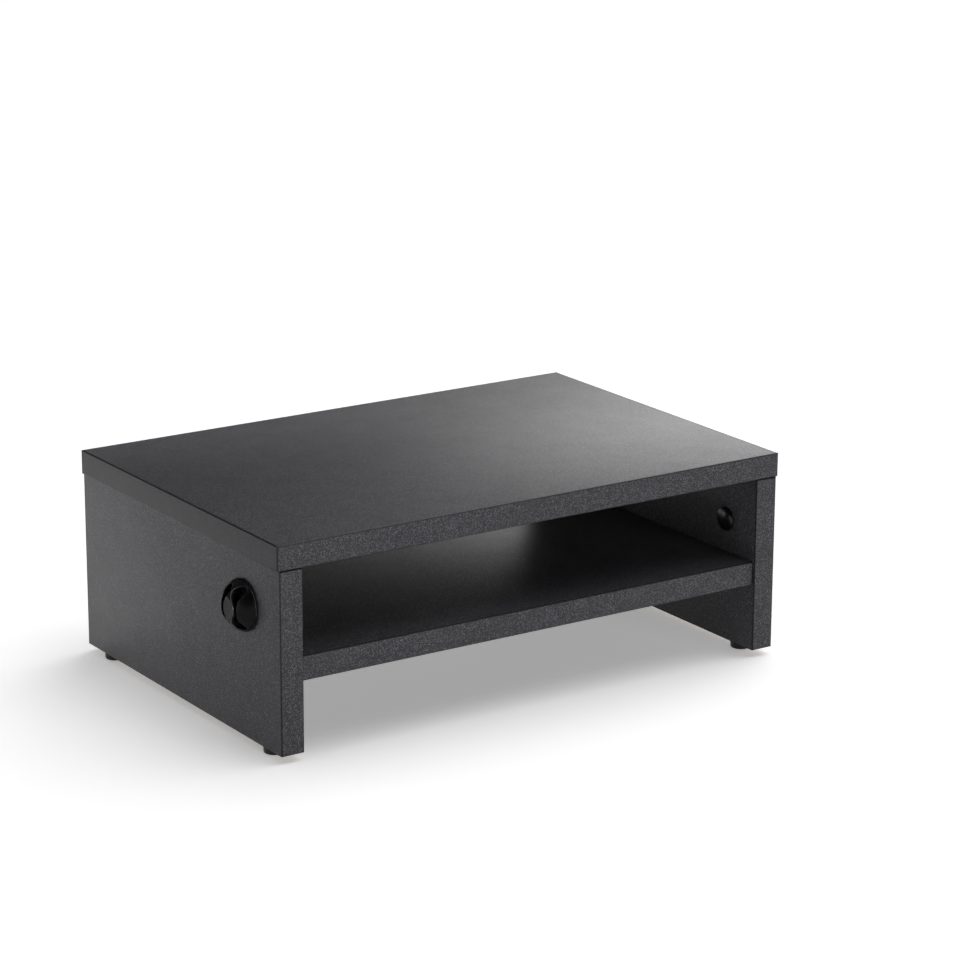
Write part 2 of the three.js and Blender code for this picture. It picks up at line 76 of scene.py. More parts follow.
# %% Camera
looked_at = Vector((-0.038699, -0.127, 0.157732))
azimuth, elevation, roll = (math.radians(a) for a in (-33.7985, 16.2410, 0.2515))
camera_distance = 2.048365
back = Vector((
    math.sin(azimuth) * math.cos(elevation),
    -math.cos(azimuth) * math.cos(elevation),
    math.sin(elevation),
))
right = Vector((math.cos(azimuth), math.sin(azimuth), 0))
up = back.cross(right)
turned_right = right * math.cos(roll) + up * math.sin(roll)
turned_up = up * math.cos(roll) - right * math.sin(roll)
camera_data = bpy.data.cameras.new("camera")
camera_data.sensor_width, camera_data.lens = 36, 124.745
camera = bpy.data.objects.new("camera", camera_data)
camera.matrix_world = (
    Matrix.Translation(looked_at + back * camera_distance)
    @ Matrix((turned_right, turned_up, back)).transposed().to_4x4()
)
bpy.context.scene.collection.objects.link(camera)
bpy.context.scene.camera = camera
print("camera at", [round(x, 3) for x in camera.matrix_world.translation])

# %% [markdown]
# ## Small helpers for shader trees
# Materials and light both need node trees. `new_node` makes one node and fills its inputs, either with
# a value or with another node's output, so that a tree reads from its sources to its end.

# %% Shader tree helpers
def feed(tree, socket, value):
    """Links an input to another node's output, or sets it to a value."""
    if isinstance(value, bpy.types.NodeSocket):
        tree.links.new(value, socket)
    else:
        socket.default_value = value


def new_node(tree, kind, inputs=None, **settings):
    """One node with its settings, and its inputs fed by their names or numbers."""
    node = tree.nodes.new(kind)
    for name, value in settings.items():
        setattr(node, name, value)
    for name, value in (inputs or {}).items():
        feed(tree, node.inputs[name], value)
    return node


def maths(tree, operation, first, second=0.0, clamp=False):
    node = new_node(tree, "ShaderNodeMath", {0: first, 1: second}, operation=operation, use_clamp=clamp)
    return node.outputs[0]


def vector_maths(tree, operation, first, second=(0, 0, 0)):
    return new_node(tree, "ShaderNodeVectorMath", {0: first, 1: second}, operation=operation).outputs


def ranged(tree, value, low, high, to_low=0.0, to_high=1.0):
    """Value as an eased share of the range from low to high, stretched from to_low to to_high."""
    inputs = {"Value": value, "From Min": low, "From Max": high, "To Min": to_low, "To Max": to_high}
    return new_node(tree, "ShaderNodeMapRange", inputs, interpolation_type="SMOOTHSTEP").outputs["Result"]


def mixed(tree, share, first, second):
    """The first colour where the share is zero, and the second one where it is one."""
    return new_node(tree, "ShaderNodeMix", {0: share, 6: first, 7: second}, data_type="RGBA").outputs[2]


def mixed_number(tree, share, first, second):
    return new_node(tree, "ShaderNodeMix", {0: share, 2: first, 3: second}, data_type="FLOAT").outputs[0]


def grey(level, warm=0.0):
    """A near-neutral colour of that linear level. A positive warm leans to brown, a negative one to blue."""
    return (level * (1 + warm), level, level * (1 - warm), 1)

# %% [markdown]
# ## Stage and light
# A product stand is shown on a white sweep under soft light. The floor is one wide sheet with a matt
# white finish. A little light of its own, only for rays from the camera and for reflections, lifts it
# to pure white, and the stand's shadow stays, because that light isn't enough to fill it.
# The air above is a soft ceiling that leans to the back, so that the front edges stay dark and the left
# ones catch a line of light. Around it the air is dark, but for one window to the right of the stand's
# back, which lays the sheen on the top board. A pale haze along the horizon carries the floor's white on
# in views from a low camera. A wide lamp to the right gives the shadow its side, and low panels fill the
# front, the left side and, through the open back, a little of the tier.

# %% Floor
FLOOR_WHITE, FLOOR_LIFT, FLOOR_SIDE = 0.9, 0.3, 40


def seen_rays(tree):
    """One for a ray that shows the background to the camera, directly or in gloss or glass, or else zero."""
    path = new_node(tree, "ShaderNodeLightPath").outputs
    seen = maths(tree, "ADD", path["Is Camera Ray"], path["Is Glossy Ray"], clamp=True)
    return maths(tree, "ADD", seen, path["Is Transmission Ray"], clamp=True)


def white_sheet():
    material = bpy.data.materials.new("white_sheet")
    material.use_nodes = True
    tree = material.node_tree
    tree.nodes.clear()
    lift = maths(tree, "MULTIPLY", seen_rays(tree), FLOOR_LIFT)
    paper = new_node(tree, "ShaderNodeBsdfDiffuse", {"Color": grey(FLOOR_WHITE)})
    glow = new_node(tree, "ShaderNodeEmission", {"Strength": lift})
    both = new_node(tree, "ShaderNodeAddShader", {0: paper.outputs[0], 1: glow.outputs[0]})
    new_node(tree, "ShaderNodeOutputMaterial", {"Surface": both.outputs[0]})
    return material


floor_mesh = bpy.data.meshes.new("floor")
shape = bmesh.new()
bmesh.ops.create_grid(shape, x_segments=1, y_segments=1, size=FLOOR_SIDE / 2)
shape.to_mesh(floor_mesh)
shape.free()
floor_mesh.materials.append(white_sheet())
floor = bpy.data.objects.new("floor", floor_mesh)
bpy.context.scene.collection.objects.link(floor)
floor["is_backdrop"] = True
print("floor is", FLOOR_SIDE, "m wide")

# %% Air
CEILING_WAY = Vector((-0.15, 0.35, 0.92)).normalized()
CEILING_RIM, CEILING_CORE = 0.55, 0.95
WINDOW_START, WINDOW_FULL, WINDOW_FADE, WINDOW_END = (math.radians(turn) for turn in (31, 42, 75, 95))
WINDOW_TOP, WINDOW_GONE = 0.4, 0.6
HAZE_TOP, HAZE_GONE = 0.05, 0.11


def studio_air(ceiling, window):
    """A soft ceiling and a window of those strengths. The window's turns are counted from +Y to +X."""
    world = bpy.data.worlds.new("studio_air")
    world.use_nodes = True
    tree = world.node_tree
    tree.nodes.clear()
    direction = new_node(tree, "ShaderNodeTexCoord").outputs["Generated"]
    parts = new_node(tree, "ShaderNodeSeparateXYZ", {0: direction}).outputs
    near = vector_maths(tree, "DOT_PRODUCT", direction, CEILING_WAY)["Value"]
    soft_ceiling = ranged(tree, near, CEILING_RIM, CEILING_CORE, 0.0, ceiling)
    turn = maths(tree, "ARCTAN2", parts["X"], parts["Y"])
    left_side = ranged(tree, turn, WINDOW_START, WINDOW_FULL)
    right_side = ranged(tree, turn, WINDOW_FADE, WINDOW_END, 1.0, 0.0)
    top = ranged(tree, parts["Z"], WINDOW_TOP, WINDOW_GONE, 1.0, 0.0)
    pane = maths(tree, "MULTIPLY", maths(tree, "MULTIPLY", left_side, right_side), top)
    strength = maths(tree, "ADD", soft_ceiling, maths(tree, "MULTIPLY", pane, window))
    haze = maths(tree, "MULTIPLY", ranged(tree, parts["Z"], HAZE_TOP, HAZE_GONE, 1.0, 0.0), seen_rays(tree))
    strength = maths(tree, "MAXIMUM", strength, haze)
    air = new_node(tree, "ShaderNodeBackground", {"Color": grey(1), "Strength": strength})
    new_node(tree, "ShaderNodeOutputWorld", {"Surface": air.outputs[0]})
    return world


bpy.context.scene.world = studio_air(ceiling=0.368, window=2.84)
print("world:", bpy.context.scene.world.name)

# %% Lamps
STAND_MIDDLE = Vector((0, 0, 0.07))


def lamp(name, kind, place, energy, **settings):
    data = bpy.data.lights.new(name, kind)
    data.energy = energy
    for setting, value in settings.items():
        setattr(data, setting, value)
    light = bpy.data.objects.new(name, data)
    light.rotation_mode = "QUATERNION"
    light.location = place
    light.rotation_quaternion = (STAND_MIDDLE - light.location).to_track_quat("-Z", "Y")
    light.visible_camera = False
    bpy.context.scene.collection.objects.link(light)


lamp("wide_lamp", "SUN", (1.1, -0.15, 2.3), 1.88, angle=math.radians(65))
for name, place, energy, width, height in (
    ("front_panel", (0.3, -2.4, 0.45), 18.5, 1.3, 0.7),
    ("left_panel", (-1.85, -0.1, 0.4), 8, 1.0, 0.7),
    ("back_left_panel", (-1.5, 1.3, 0.16), 2.2, 0.8, 0.24),
):
    lamp(name, "AREA", place, energy, shape="RECTANGLE", size=width, size_y=height)
bpy.context.scene.view_settings.view_transform = "Standard"

# %% [markdown]
# ## Shared patterns
# Several finishes use the same effects, so each effect is a node group with its own inputs.
# Melamine on such boards has a pearl texture: the press plate leaves small bumps under a millimetre
# apart. The light that the bumps catch is painted into the colour: the highest bumps get pale flecks as
# painted highlights, and the lowest ones get dark pits as painted shade. Every cell of a Voronoi texture
# is one bump with a tone of its own, a noise softens the relief, and a second, much slower noise keeps a
# wide face from looking even.

# %% Pearl grain
def node_group(name, inputs, outputs):
    """An empty shader group with named sockets. Inputs are (name, socket type, value)."""
    group = bpy.data.node_groups.new(name, "ShaderNodeTree")
    for label, kind, value in inputs:
        socket = group.interface.new_socket(name=label, in_out="INPUT", socket_type=kind)
        socket.default_value = value
    for label, kind in outputs:
        group.interface.new_socket(name=label, in_out="OUTPUT", socket_type=kind)
    entry = new_node(group, "NodeGroupInput").outputs
    return group, entry


def use_group(tree, group, **inputs):
    """Places a group in a tree, with its inputs given by their names in small letters."""
    node = new_node(tree, "ShaderNodeGroup", node_tree=group)
    for name, value in inputs.items():
        feed(tree, node.inputs[name.replace("_", " ").capitalize()], value)
    return node.outputs


def object_place(tree):
    return new_node(tree, "ShaderNodeTexCoord").outputs["Object"]


def noise(tree, place, scale, detail=2.0, roughness=0.5, distortion=0.0):
    return new_node(tree, "ShaderNodeTexNoise", {
        "Vector": place, "Scale": scale, "Detail": detail, "Roughness": roughness, "Distortion": distortion,
    }).outputs["Fac"]


def cells(tree, place, scale, **settings):
    return new_node(tree, "ShaderNodeTexVoronoi", {"Vector": place, "Scale": scale}, **settings).outputs


PAINTED_GLINT_EDGE, PIT_FULL, PIT_GONE, MOTTLE_SCALE = 0.08, 0.2, 0.4, 0.02


def pearl_grain_group():
    group, entry = node_group(
        "pearl_grain",
        [("Grain size", "NodeSocketFloat", 0.001), ("Fleck share", "NodeSocketFloat", 0.2)],
        [(name, "NodeSocketFloat") for name in ("Fleck", "Pit", "Height", "Mottle")],
    )
    place = object_place(group)
    scale = maths(group, "DIVIDE", 1.0, entry["Grain size"])
    tone = new_node(group, "ShaderNodeSeparateColor", {0: cells(group, place, scale)["Color"]}).outputs[0]
    start = maths(group, "SUBTRACT", 1.0, entry["Fleck share"])
    # The pale fleck is a painted highlight on the highest bumps, and the dark pit below is painted shade in
    # the lowest ones.
    fleck = ranged(group, tone, start, maths(group, "ADD", start, PAINTED_GLINT_EDGE))
    pit = ranged(group, tone, PIT_FULL, PIT_GONE, 1.0, 0.0)
    relief = noise(group, place, scale, detail=1.5, roughness=0.55)
    height = maths(group, "ADD", maths(group, "MULTIPLY", tone, 0.4), maths(group, "MULTIPLY", relief, 0.6))
    mottle = noise(group, place, maths(group, "MULTIPLY", scale, MOTTLE_SCALE), detail=3.0, roughness=0.55)
    new_node(group, "NodeGroupOutput", {"Fleck": fleck, "Pit": pit, "Height": height, "Mottle": mottle})
    return group


pearl_grain = pearl_grain_group()
print("group", pearl_grain.name, "has", len(pearl_grain.interface.items_tree), "sockets")

# %% [markdown]
# Where a bore or a sawn end has no melamine, the board shows its raw core: pressed wood chips, pale
# and brown, a few millimetres long, with small dark gaps between them. Cells of a Voronoi texture
# give each chip its own tone, and a noise adds the fibres.

# %% Raw chipboard
CHIP_PALE, CHIP_BROWN, CHIP_FIBRE, CHIP_GAP = (
    (0.46, 0.315, 0.17, 1), (0.19, 0.115, 0.058, 1), (0.27, 0.165, 0.085, 1), (0.055, 0.033, 0.018, 1)
)
CHIP_BEND, GAP_WIDTH = 1.2 * MM, 0.09


def raw_chipboard_group():
    group, entry = node_group(
        "raw_chipboard",
        [("Chip size", "NodeSocketFloat", 0.002)],
        [("Colour", "NodeSocketColor"), ("Height", "NodeSocketFloat")],
    )
    place = object_place(group)
    scale = maths(group, "DIVIDE", 1.0, entry["Chip size"])
    wander = new_node(group, "ShaderNodeTexNoise", {"Vector": place, "Scale": scale, "Detail": 2.0})
    bend = vector_maths(group, "MULTIPLY", wander.outputs["Color"], (CHIP_BEND, CHIP_BEND, CHIP_BEND))[0]
    bent = vector_maths(group, "ADD", place, bend)[0]
    gaps = cells(group, bent, scale, feature="DISTANCE_TO_EDGE")["Distance"]
    tone = new_node(group, "ShaderNodeSeparateColor", {0: cells(group, bent, scale)["Color"]}).outputs[0]
    fibre = noise(group, place, maths(group, "MULTIPLY", scale, 5.0), roughness=0.6)
    wood = mixed(group, tone, CHIP_BROWN, CHIP_PALE)
    wood = mixed(group, maths(group, "MULTIPLY", fibre, 0.6), wood, CHIP_FIBRE)
    gap = ranged(group, gaps, 0.0, GAP_WIDTH)
    colour = mixed(group, gap, CHIP_GAP, wood)
    height = maths(group, "ADD", maths(group, "MULTIPLY", gap, 0.7), maths(group, "MULTIPLY", fibre, 0.3))
    new_node(group, "NodeGroupOutput", {"Colour": colour, "Height": height})
    return group


raw_chipboard = raw_chipboard_group()
print("group", raw_chipboard.name, "ready")

# %% [markdown]
# ## The board finish
# One board has two finishes: melamine on its two wide faces and raw core everywhere else. Which one
# shows depends on the depth below the faces, so the mask compares the point's place across the board
# with the two face planes that the frame gives. Each board gets its own copy with its own planes.

# %% Melamine board
GRAIN, PRINT_RELIEF, BOARD_SHINE = 0.45 * MM, 0.11 * MM, 0.22
# The first colour below is painted shade for the grain's pits, and the last one is a painted highlight for
# its flecks. The two between are the print's own dark and pale tones.
PAINTED_PIT_SHADE = (0.005, 0.005, 0.006)
BOARD_DARK = (0.025, 0.024, 0.028)
BOARD_PALE = (0.043, 0.042, 0.047)
PAINTED_GLINT_PALE = (0.200, 0.196, 0.220)
FACE_DEPTH, CHIP_SIZE = 0.15 * MM, 2.2 * MM
BOARD_ROUGH, RAW_ROUGH = (0.37, 0.35), 0.85
AXES = {"X": 0, "Y": 1, "Z": 2}


def new_material(name):
    material = bpy.data.materials.new(name)
    material.use_nodes = True
    tree = material.node_tree
    tree.nodes.clear()
    shader = new_node(tree, "ShaderNodeBsdfPrincipled")
    new_node(tree, "ShaderNodeOutputMaterial", {"Surface": shader.outputs[0]})
    return material, tree, shader


def bumped(tree, height, distance):
    return new_node(tree, "ShaderNodeBump", {"Height": height, "Distance": distance}).outputs["Normal"]


def connect(tree, shader, **sockets):
    """Feeds the shader's inputs, named in small letters with underscores."""
    for name, value in sockets.items():
        feed(tree, shader.inputs[name.replace("_", " ").title()], value)


def pearl_face(tree, fleck_share, painted_glint_level, shade=1.0):
    """The pearl print's colour, with painted highlights and shade, and its group. A shade below one is
    painted shade, above one painted light.
    """
    dark, pale, pit, fleck = (
        [part * shade for part in colour] + [1] for colour in (BOARD_DARK, BOARD_PALE, PAINTED_PIT_SHADE, PAINTED_GLINT_PALE)
    )
    grain = use_group(tree, pearl_grain, grain_size=GRAIN, fleck_share=fleck_share)
    face = mixed(tree, grain["Mottle"], dark, pale)
    # The dark pits are painted shade and the pale flecks are painted highlights, both as strong as the level
    # given.
    face = mixed(tree, maths(tree, "MULTIPLY", grain["Pit"], painted_glint_level), face, pit)
    return mixed(tree, maths(tree, "MULTIPLY", grain["Fleck"], painted_glint_level), face, fleck), grain


def melamine(name, node, axis):
    material, tree, shader = new_material(name)
    low, high = (corner[AXES[axis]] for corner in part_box(node))
    across = new_node(tree, "ShaderNodeSeparateXYZ", {0: object_place(tree)}).outputs[axis]
    middle, half = (low + high) / 2, (high - low) / 2
    off_middle = maths(tree, "ABSOLUTE", maths(tree, "SUBTRACT", across, middle))
    faced = ranged(tree, off_middle, half - 1.2 * FACE_DEPTH, half - 0.8 * FACE_DEPTH)
    # The pearl print, with painted highlights on its flecks and painted shade in its pits.
    face, grain = pearl_face(tree, fleck_share=0.2, painted_glint_level=0.42)
    chips = use_group(tree, raw_chipboard, chip_size=CHIP_SIZE)
    colour = mixed(tree, faced, chips["Colour"], face)
    sheen = ranged(tree, grain["Mottle"], 0.3, 0.7, *BOARD_ROUGH)
    rough = mixed_number(tree, faced, RAW_ROUGH, sheen)
    relief = mixed_number(tree, faced, chips["Height"], grain["Height"])
    connect(tree, shader, base_color=colour, roughness=rough, normal=bumped(tree, relief, PRINT_RELIEF))
    shader.inputs["Specular IOR Level"].default_value = BOARD_SHINE
    return material


BOARDS = {"top_board": "Z", "shelf_board": "Z", "side_panel_left": "X", "side_panel_right": "X"}
board_finish = {node: melamine("melamine_" + node, node, axis) for node, axis in BOARDS.items()}
print("board finishes:", sorted(board_finish))

# %% [markdown]
# ## The edge band finish
# A band is a 1 mm plastic strip. Its outer face carries the boards' pearl print with its painted highlights
# and shade. The band is also painted a little paler at the front and back and darker at the left and
# right, as painted light and shade: one band material in a lit and a shaded copy. Its trimmed sides and
# rounded edges are plain black plastic, which draws the thin dark lines along the real stand's edges. The
# mask reads which way the surface faces: only where the normal lies along the band's outward axis does
# the print show.

# %% Edge band
def facing_group():
    group, entry = node_group(
        "facing",
        [("Axis", "NodeSocketVector", (0, 0, 1))],
        [("Share", "NodeSocketFloat")],
    )
    normal = new_node(group, "ShaderNodeNewGeometry").outputs["Normal"]
    along = vector_maths(group, "DOT_PRODUCT", normal, entry["Axis"])["Value"]
    share = ranged(group, maths(group, "ABSOLUTE", along), 0.9, 0.985)
    new_node(group, "NodeGroupOutput", {"Share": share})
    return group


facing = facing_group()
AXIS_VECTORS = {"X": (1, 0, 0), "Y": (0, 1, 0)}
BAND_BLACK, BAND_ROUGH = 0.004, (0.34, 0.44)


def edge_band(name, axis, fleck_share, painted_glint_level, shade):
    material, tree, shader = new_material(name)
    printed = use_group(tree, facing, axis=AXIS_VECTORS[axis])["Share"]
    face, grain = pearl_face(tree, fleck_share, painted_glint_level, shade)
    colour = mixed(tree, printed, grey(BAND_BLACK), face)
    rough = ranged(tree, printed, 0.0, 1.0, *BAND_ROUGH)
    relief = maths(tree, "MULTIPLY", grain["Height"], printed)
    connect(tree, shader, base_color=colour, roughness=rough, normal=bumped(tree, relief, PRINT_RELIEF))
    shader.inputs["Specular IOR Level"].default_value = BOARD_SHINE
    return material


# Two copies of one band: the left and right bands are painted darker as painted shade, and the front and back
# ones paler, with stronger painted glints, as painted light.
band_finish = {
    "X": edge_band("edge_band_x_painted_shade", "X", fleck_share=0.12, painted_glint_level=0.15, shade=0.72),
    "Y": edge_band("edge_band_y_painted_light", "Y", fleck_share=0.22, painted_glint_level=0.45, shade=1.15),
}
print("band finishes:", [m.name for m in band_finish.values()])

# %% [markdown]
# ## Plastics, metals, wood and foam
# The small parts share two more effects. Moulded plastic has a fine spark-eroded grain from its tool,
# and cast or plated metal has small pits and duller stains. The wood's long fibres and the foam's open
# pores serve one material each, so they are built in it.

# %% Grain and pits
def moulded_grain_group():
    group, entry = node_group(
        "moulded_grain",
        [("Grain size", "NodeSocketFloat", 0.0003)],
        [("Height", "NodeSocketFloat"), ("Tone", "NodeSocketFloat")],
    )
    place = object_place(group)
    scale = maths(group, "DIVIDE", 1.0, entry["Grain size"])
    height = noise(group, place, scale, roughness=0.65)
    tone = noise(group, place, maths(group, "MULTIPLY", scale, 0.04), detail=3.0, roughness=0.6)
    new_node(group, "NodeGroupOutput", {"Height": height, "Tone": tone})
    return group


def cast_pits_group():
    group, entry = node_group(
        "cast_pits",
        [("Pit size", "NodeSocketFloat", 0.0005)],
        [("Height", "NodeSocketFloat"), ("Stain", "NodeSocketFloat")],
    )
    place = object_place(group)
    scale = maths(group, "DIVIDE", 1.0, entry["Pit size"])
    pits = cells(group, place, scale)["Distance"]
    height = maths(group, "ADD", ranged(group, pits, 0.0, 0.35), noise(group, place, scale))
    stain = noise(group, place, maths(group, "MULTIPLY", scale, 0.2), detail=4.0, roughness=0.7)
    new_node(group, "NodeGroupOutput", {"Height": height, "Stain": stain})
    return group


moulded_grain = moulded_grain_group()
cast_pits = cast_pits_group()
print("groups:", moulded_grain.name, cast_pits.name)

# %% Plastic, metal, wood and foam finishes
PLASTIC_WARMTH, STAIN_START, STAIN_FULL = -0.03, 0.35, 0.65
FIBRE_STRETCH, PORES_PER_METRE = 0.08, 2400
BEECH_DARK, BEECH_PALE, BEECH_FLECK = (0.53, 0.36, 0.19, 1), (0.66, 0.48, 0.28, 1), (0.30, 0.17, 0.08, 1)


def moulded(name, level, roughness, shine, size, depth):
    material, tree, shader = new_material(name)
    grain = use_group(tree, moulded_grain, grain_size=size)
    colour = mixed(tree, grain["Tone"], grey(level * 0.75, PLASTIC_WARMTH), grey(level * 1.3, PLASTIC_WARMTH))
    rough = ranged(tree, grain["Tone"], 0.25, 0.75, roughness * 0.88, roughness * 1.12)
    connect(tree, shader, base_color=colour, roughness=rough, normal=bumped(tree, grain["Height"], depth))
    shader.inputs["Specular IOR Level"].default_value = shine
    return material


def metal(name, pale, dull, roughness, pit_size, depth):
    material, tree, shader = new_material(name)
    cast = use_group(tree, cast_pits, pit_size=pit_size)
    colour = mixed(tree, ranged(tree, cast["Stain"], STAIN_START, STAIN_FULL), pale, dull)
    rough = ranged(tree, cast["Stain"], STAIN_START, STAIN_FULL, roughness, roughness * 1.5)
    normal = bumped(tree, cast["Height"], depth)
    connect(tree, shader, base_color=colour, metallic=1.0, roughness=rough, normal=normal)
    return material


def beech(name, axis):
    material, tree, shader = new_material(name)
    stretch = [1.0, 1.0, 1.0]
    stretch[AXES[axis]] = FIBRE_STRETCH
    along = new_node(tree, "ShaderNodeMapping", {"Vector": object_place(tree), "Scale": stretch}).outputs[0]
    fibre = noise(tree, along, scale=2600, detail=3.0, roughness=0.6)
    growth = noise(tree, along, scale=420, distortion=0.6)
    fleck = ranged(tree, noise(tree, along, scale=5200, detail=1.0), 0.62, 0.72)
    wood = mixed(tree, ranged(tree, growth, 0.3, 0.7), BEECH_DARK, BEECH_PALE)
    wood = mixed(tree, maths(tree, "MULTIPLY", fleck, 0.55), wood, BEECH_FLECK)
    connect(tree, shader, base_color=wood, roughness=0.62, normal=bumped(tree, fibre, 0.05 * MM))
    return material


def open_foam(name):
    material, tree, shader = new_material(name)
    pore = ranged(tree, cells(tree, object_place(tree), PORES_PER_METRE)["Distance"], 0.15, 0.55)
    colour = mixed(tree, pore, grey(0.11), grey(0.30))
    connect(tree, shader, base_color=colour, roughness=0.95, normal=bumped(tree, pore, 0.12 * MM))
    return material


cap_finish = moulded("cap_plastic", 0.004, roughness=0.30, shine=0.3, size=0.35 * MM, depth=0.006 * MM)
foot_finish = moulded("foot_plastic", 0.008, roughness=0.46, shine=0.3, size=0.30 * MM, depth=0.015 * MM)
clip_finish = moulded("clip_rubber", 0.003, roughness=0.34, shine=0.09, size=0.28 * MM, depth=0.008 * MM)
zinc_finish = metal(
    "cast_zinc", pale=(0.52, 0.53, 0.54, 1), dull=(0.33, 0.34, 0.35, 1),
    roughness=0.34, pit_size=0.55 * MM, depth=0.03 * MM,
)
steel_finish = metal(
    "plated_steel", pale=(0.62, 0.62, 0.61, 1), dull=(0.42, 0.42, 0.41, 1),
    roughness=0.24, pit_size=0.25 * MM, depth=0.008 * MM,
)
beech_finish = {axis: beech("beech_" + axis.lower(), axis) for axis in ("X", "Z")}
foam_finish = open_foam("pad_foam")
print("finishes:", len(bpy.data.materials))

# %% [markdown]
# ## Helpers for meshes
# New pieces start in a bmesh: an operator makes a simple solid, and other operators move, spin, cut
# and soften it. Real edges are never knife-sharp, so `softened` bevels every edge that turns by more
# than 40 degrees. `finished` turns the bmesh into an object that rides on the stand's body and
# stands for the frame's own node.

# %% Mesh helpers
SOFT_TURN = math.radians(40)


def softened(shape, offset, segments, chosen=None):
    """Rounds the edges where the shape turns sharply, or only those of them that chosen accepts."""
    edges = [e for e in shape.edges if e.is_manifold and e.calc_face_angle() > SOFT_TURN]
    edges = [e for e in edges if chosen is None or chosen(e)]
    bmesh.ops.bevel(
        shape, geom=edges, offset=offset, segments=segments, affect="EDGES",
        profile=0.5, material=-1, clamp_overlap=True,
    )
    return shape


def spun(outline, steps=64):
    """An outline of (radius, height) points, turned about the Z axis into a closed solid."""
    shape = bmesh.new()
    corners = [shape.verts.new((radius, 0, height)) for radius, height in outline]
    edges = [shape.edges.new(pair) for pair in zip(corners, corners[1:])]
    bmesh.ops.spin(
        shape, geom=corners + edges, cent=(0, 0, 0), axis=(0, 0, 1), dvec=(0, 0, 0),
        angle=2 * math.pi, steps=steps, use_merge=True, use_normal_flip=False, use_duplicate=False,
    )
    bmesh.ops.remove_doubles(shape, verts=shape.verts, dist=0.0005 * MM)
    bmesh.ops.recalc_face_normals(shape, faces=shape.faces)
    return shape


def brick(low, high):
    """A box between two corners."""
    shape = bmesh.new()
    bmesh.ops.create_cube(shape, size=1)
    size = Vector(high) - Vector(low)
    bmesh.ops.scale(shape, vec=size, verts=shape.verts)
    bmesh.ops.translate(shape, vec=(Vector(low) + Vector(high)) / 2, verts=shape.verts)
    return shape


def rod(diameter, start, end, steps=48):
    """A round bar from one point to another."""
    shape = bmesh.new()
    way = Vector(end) - Vector(start)
    bmesh.ops.create_cone(
        shape, cap_ends=True, cap_tris=False, segments=steps,
        radius1=diameter / 2, radius2=diameter / 2, depth=way.length,
    )
    turn = Vector((0, 0, 1)).rotation_difference(way).to_matrix()
    bmesh.ops.rotate(shape, cent=(0, 0, 0), matrix=turn, verts=shape.verts)
    bmesh.ops.translate(shape, vec=(Vector(start) + Vector(end)) / 2, verts=shape.verts)
    return shape


def joined(*shapes):
    """Several bmeshes as one."""
    whole = shapes[0]
    for shape in shapes[1:]:
        mesh = bpy.data.meshes.new("joined")
        shape.to_mesh(mesh)
        whole.from_mesh(mesh)
        shape.free()
        bpy.data.meshes.remove(mesh)
    return whole


def as_object(shape, name):
    mesh = bpy.data.meshes.new(name)
    shape.to_mesh(mesh)
    shape.free()
    thing = bpy.data.objects.new(name, mesh)
    bpy.context.scene.collection.objects.link(thing)
    return thing


def combined(shape, tool, operation="DIFFERENCE"):
    """The shape less the tool, or both as one for UNION, by an exact boolean."""
    body, cutter = as_object(shape, "body"), as_object(tool, "cutter")
    modifier = body.modifiers.new("carve", "BOOLEAN")
    modifier.operation, modifier.object = operation, cutter
    modifier.solver, modifier.use_self = "EXACT", True
    result = bmesh.new()
    result.from_object(body, bpy.context.evaluated_depsgraph_get())
    for thing in (body, cutter):
        mesh = thing.data
        bpy.data.objects.remove(thing)
        bpy.data.meshes.remove(mesh)
    return result


def put(shape, facing, upward, at):
    """Turns a shape so that its Z axis faces one way and its Y axis another, and moves it to its place."""
    facing, upward = Vector(facing), Vector(upward)
    turn = Matrix((upward.cross(facing), upward, facing)).transposed()
    bmesh.ops.rotate(shape, cent=(0, 0, 0), matrix=turn, verts=shape.verts)
    bmesh.ops.translate(shape, vec=Vector(at), verts=shape.verts)
    return shape


def finished(name, shape, finish, node, sharp=35):
    """The shape as a smooth-shaded piece in place of a node of the frame."""
    piece = as_object(shape, name)
    piece.data.shade_smooth()
    piece.data.set_sharp_from_angle(angle=math.radians(sharp))
    piece.data.materials.append(finish)
    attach(piece, "root")
    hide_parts(node)
    return piece

# %% [markdown]
# ## The boards
# A board is a sawn and drilled slab. Copying the frame's node would bring its coarse, many-sided
# bores, so each board starts as a box of the node's size, its edges are eased by a quarter of a
# millimetre, and round drills cut it wherever the frame has a fastener. They are only a little wider
# than what sits in them.

# %% Fastener places
ENDS, SIDES = ("front", "back"), {"left": -1, "right": 1}
CORNERS = {end + "_" + side: sign for end in ENDS for side, sign in SIDES.items()}
FIT, NAIL_BORE = 0.3 * MM, 2.4 * MM


def middle_of(node):
    low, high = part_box(node)
    return (low + high) / 2


def span_of(node, axis):
    low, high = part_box(node)
    return low[AXES[axis]], high[AXES[axis]]


def lock_place(node):
    """Where a cam lock's slotted face lies, which way it faces, and which way its bolt comes from."""
    low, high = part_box(node)
    place = (low + high) / 2
    if "shelf" in node:
        place.z = low.z
        return place, Vector((0, 0, -1)), Vector((math.copysign(1, place.x), 0, 0))
    inward = Vector((-1, 0, 0)) if place.x > 0 else Vector((1, 0, 0))
    place.x = low.x if place.x > 0 else high.x
    return place, inward, Vector((0, 0, 1))


print("a lock's face is at", [round(x / MM, 1) for x in lock_place("cam_lock_shelf_front_left")[0]])

